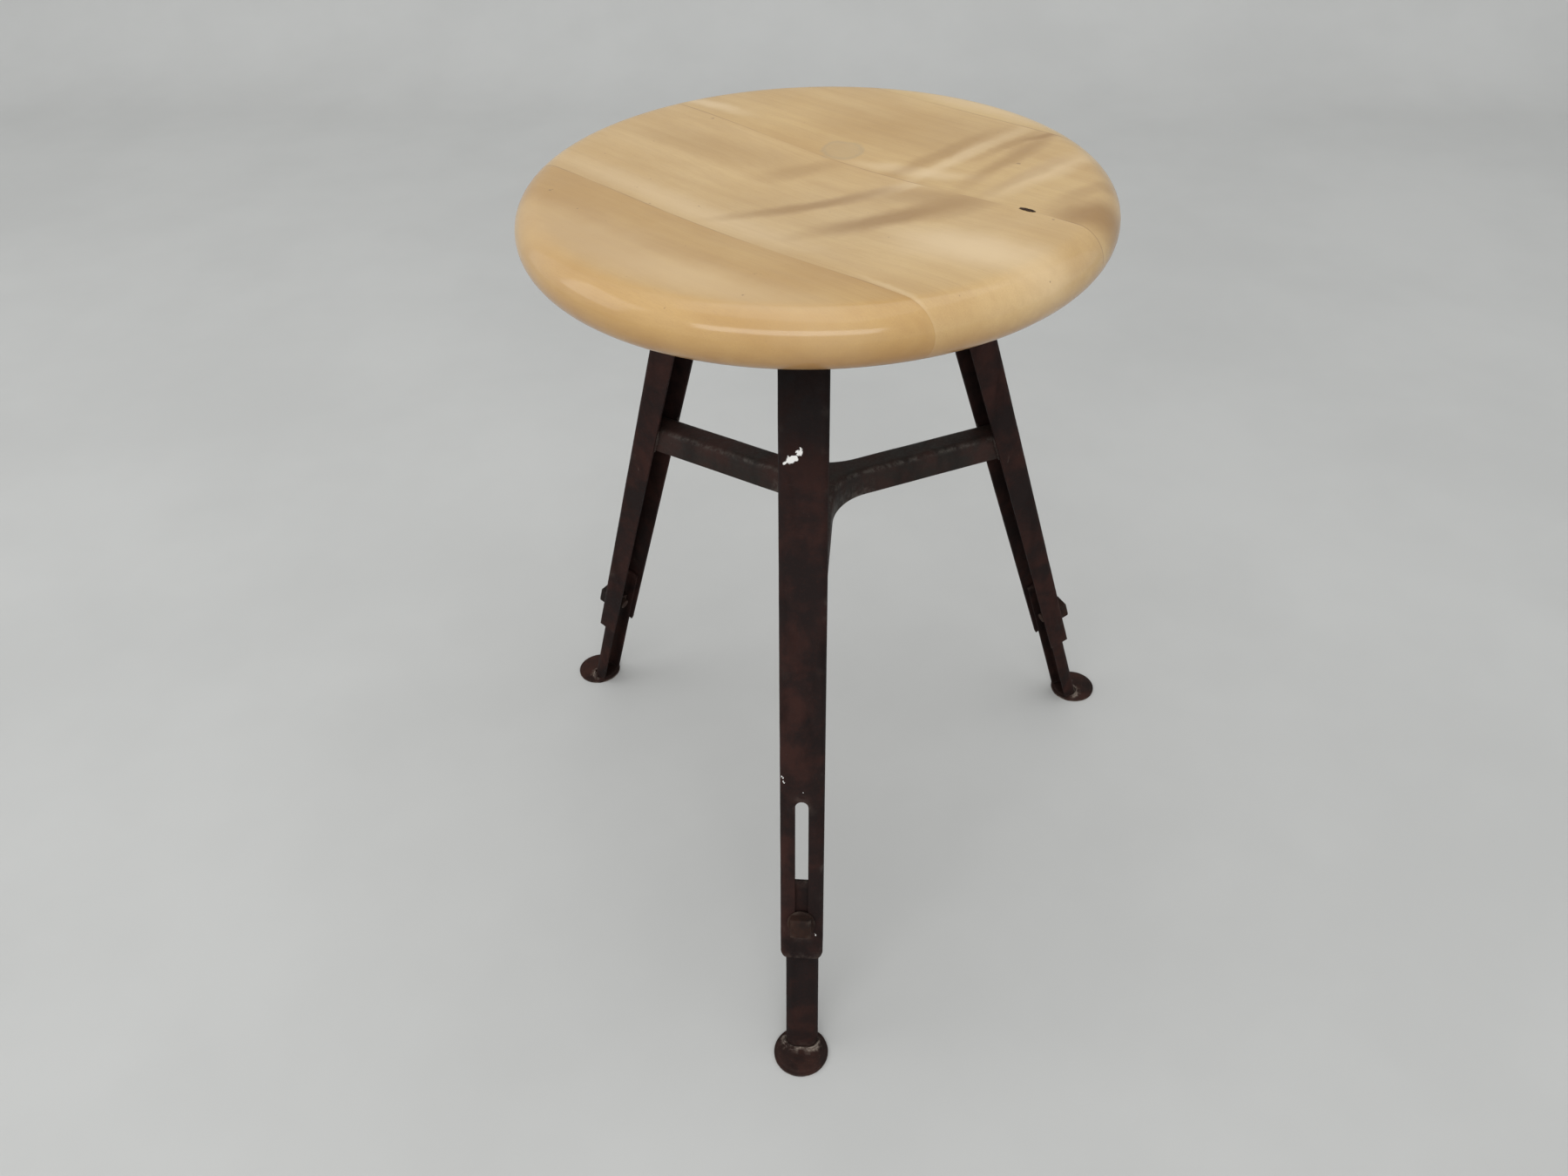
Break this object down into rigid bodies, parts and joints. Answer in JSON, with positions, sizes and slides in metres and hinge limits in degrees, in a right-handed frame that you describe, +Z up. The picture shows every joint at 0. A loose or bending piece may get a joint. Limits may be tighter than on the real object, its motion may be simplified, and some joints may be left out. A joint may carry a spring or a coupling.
{
  "type": "adjustable swivel stool",
  "caption": "Three-legged workshop stool with a round dished wooden seat that swivels and folded-steel legs that telescope and clamp.",
  "frame": {"origin": "point on the floor under the seat's swivel axis, midway between the three feet", "axes": "+Z up along the swivel axis, -Y towards the front leg, +X to the right seen from the front"},
  "size_m": [0.4672, 0.4419, 0.515],
  "materials": {
    "seat_wood": "satin varnish over pale honey wood",
    "frame_steel": "very dark brown worn paint and patina",
    "leg_steel": "very dark brown patina, rubbed where it slides",
    "foot_steel": "dark brown patina with bright worn edges",
    "fastener_steel": "dark rusted steel",
    "bush_bronze": "dull bronze"
  },
  "bodies": {
    "frame": {"outer_leg_front": "frame_steel", "outer_leg_right": "frame_steel", "outer_leg_left": "frame_steel", "y_brace": "frame_steel", "top_plate": "frame_steel", "leg_rivets": "fastener_steel", "pivot_housing": "frame_steel", "swivel_bush": "bush_bronze", "thrust_washer": "bush_bronze"},
    "seat": {"seat_board_1": "seat_wood", "seat_board_2": "seat_wood", "seat_board_3": "seat_wood", "seat_board_4": "seat_wood", "seat_plate": "frame_steel", "seat_screws": "fastener_steel", "spindle": "fastener_steel", "retaining_washer": "fastener_steel", "castle_nut": "fastener_steel", "split_pin": "fastener_steel"},
    "lower_leg_front": {"lower_leg_front": "leg_steel", "foot_disc_front": "foot_steel", "clamp_washer_front": "fastener_steel", "clamp_nut_front": "fastener_steel"},
    "clamp_bolt_front": {"clamp_bolt_front": "fastener_steel"},
    "lower_leg_right": {"lower_leg_right": "leg_steel", "foot_disc_right": "foot_steel", "clamp_washer_right": "fastener_steel", "clamp_nut_right": "fastener_steel"},
    "clamp_bolt_right": {"clamp_bolt_right": "fastener_steel"},
    "lower_leg_left": {"lower_leg_left": "leg_steel", "foot_disc_left": "foot_steel", "clamp_washer_left": "fastener_steel", "clamp_nut_left": "fastener_steel"},
    "clamp_bolt_left": {"clamp_bolt_left": "fastener_steel"}
  },
  "joints": [
    {"name": "seat_swivel", "type": "hinge", "parent": "frame", "child": "seat", "pos_m": [0, 0, 0.477], "axis": [0, 0, 1], "continuous": true},
    {"name": "leg_front_slide", "type": "slide", "parent": "frame", "child": "lower_leg_front", "axis": [0, 0.3023, 0.9532], "range_m": [-0.006, 0.068]},
    {"name": "clamp_bolt_front_turn", "type": "hinge", "parent": "lower_leg_front", "child": "clamp_bolt_front", "pos_m": [0, -0.21716, 0.10295], "axis": [0, -0.9532, 0.3023], "range_deg": [0, 270]},
    {"name": "leg_right_slide", "type": "slide", "parent": "frame", "child": "lower_leg_right", "axis": [-0.2618, -0.1511, 0.9532], "range_m": [-0.006, 0.068]},
    {"name": "clamp_bolt_right_turn", "type": "hinge", "parent": "lower_leg_right", "child": "clamp_bolt_right", "pos_m": [0.18806, 0.10858, 0.10295], "axis": [0.8255, 0.4766, 0.3023], "range_deg": [0, 270]},
    {"name": "leg_left_slide", "type": "slide", "parent": "frame", "child": "lower_leg_left", "axis": [0.2618, -0.1511, 0.9532], "range_m": [-0.006, 0.068]},
    {"name": "clamp_bolt_left_turn", "type": "hinge", "parent": "lower_leg_left", "child": "clamp_bolt_left", "pos_m": [-0.18806, 0.10858, 0.10295], "axis": [-0.8255, 0.4766, 0.3023], "range_deg": [0, 270]}
  ]
}
